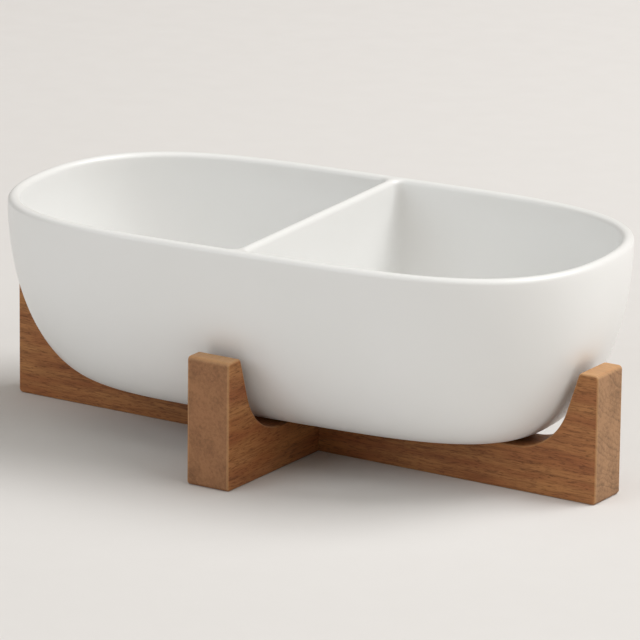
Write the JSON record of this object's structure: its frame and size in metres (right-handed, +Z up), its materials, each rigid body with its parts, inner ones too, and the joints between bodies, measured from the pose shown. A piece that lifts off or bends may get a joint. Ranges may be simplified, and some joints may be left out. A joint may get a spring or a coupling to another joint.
{
  "type": "chip and dip server",
  "caption": "Oval divided ceramic bowl for chips and dip, cradled by a cross-shaped wooden stand of two rails joined in a halving joint; the bowl lifts out and the stand comes apart.",
  "frame": {"origin": "on the table under the middle of the stand, where the two rails cross", "axes": "+Z up, +X along the long rail and the bowl's long way, +Y along the cross rail"},
  "size_m": [0.3002, 0.1664, 0.1046],
  "materials": {
    "stand_wood": "oiled acacia, satin",
    "bowl_glaze": "white glaze, satin outside and glossy inside"
  },
  "bodies": {
    "long_rail": {"long_rail": "stand_wood"},
    "cross_rail": {"cross_rail": "stand_wood"},
    "bowl": {"divided_bowl": "bowl_glaze"}
  },
  "joints": [
    {"name": "cross_rail_lift", "type": "slide", "parent": "long_rail", "child": "cross_rail", "axis": [0, 0, 1], "range_m": [0, 0.08]},
    {"name": "bowl_lift", "type": "slide", "parent": "cross_rail", "child": "bowl", "axis": [0, 0, 1], "range_m": [0, 0.07]}
  ]
}
